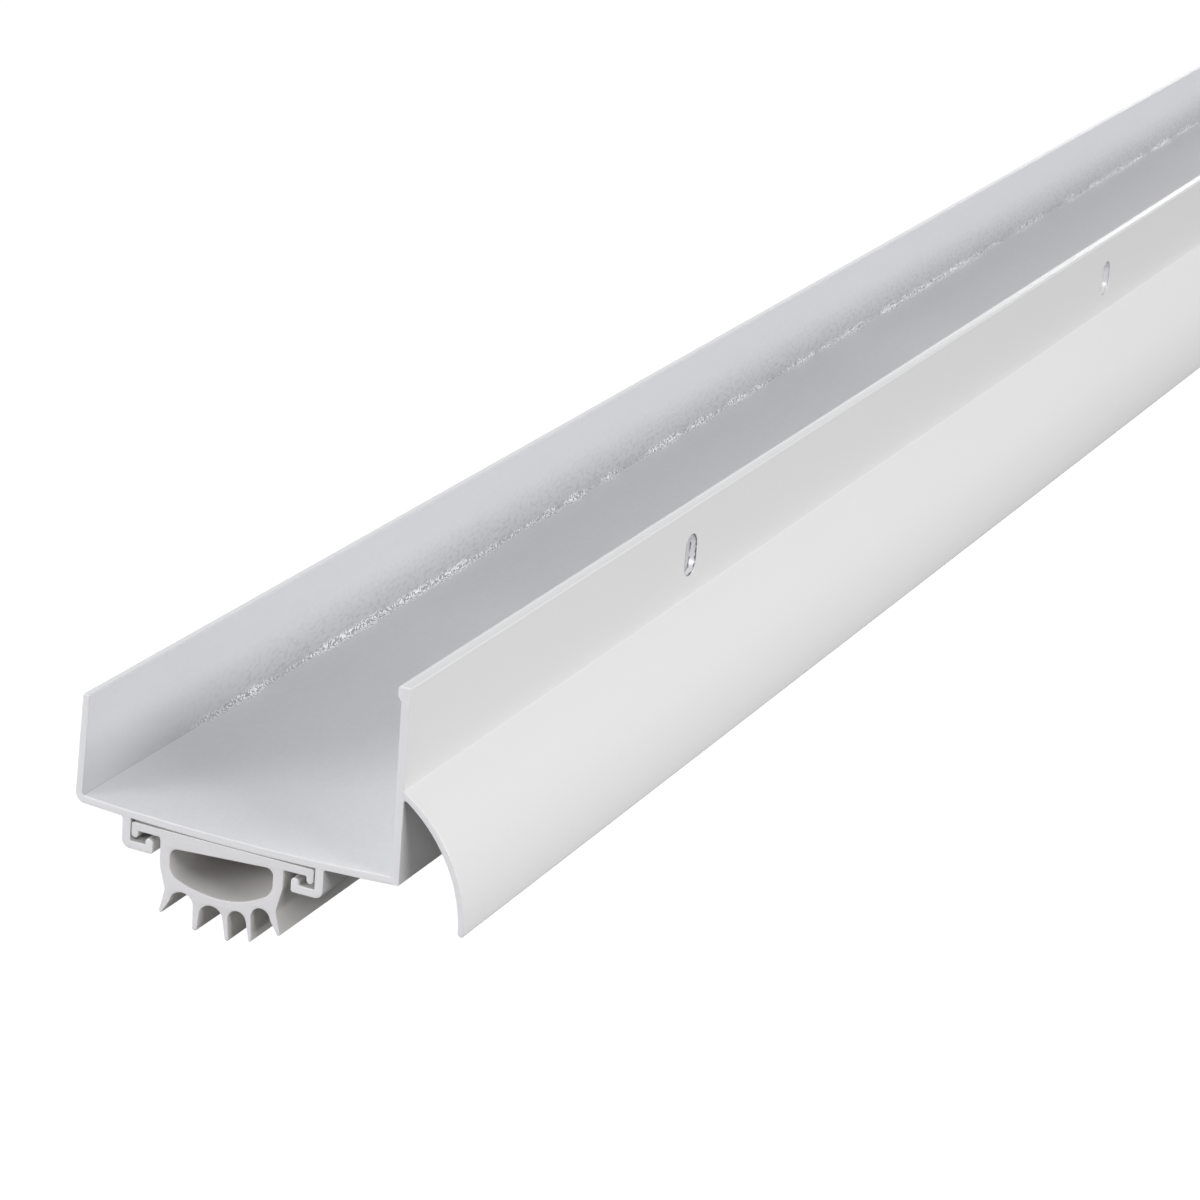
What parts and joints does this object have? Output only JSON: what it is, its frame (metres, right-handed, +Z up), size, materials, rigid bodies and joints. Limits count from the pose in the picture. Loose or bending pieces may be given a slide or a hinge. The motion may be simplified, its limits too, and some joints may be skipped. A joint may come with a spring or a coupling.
{
  "type": "door bottom seal",
  "caption": "U-shaped channel for the foot of a door, with a curved drip cap, upright screw slots and a soft, finned bulb seal pushed into its tracks.",
  "frame": {"origin": "on the level where the channel's floor meets the door's bottom edge, midway between the flanges and midway between the ends", "axes": "+X across the door towards the drip cap and the weather side, +Y along the door's width, +Z up"},
  "size_m": [0.0578, 0.9144, 0.0412],
  "materials": {
    "white_paint": "satin white paint with a fine grain",
    "white_vinyl": "matt soft vinyl"
  },
  "bodies": {
    "root": {"door_channel": "white_paint", "seal_insert": "white_vinyl"}
  },
  "joints": []
}
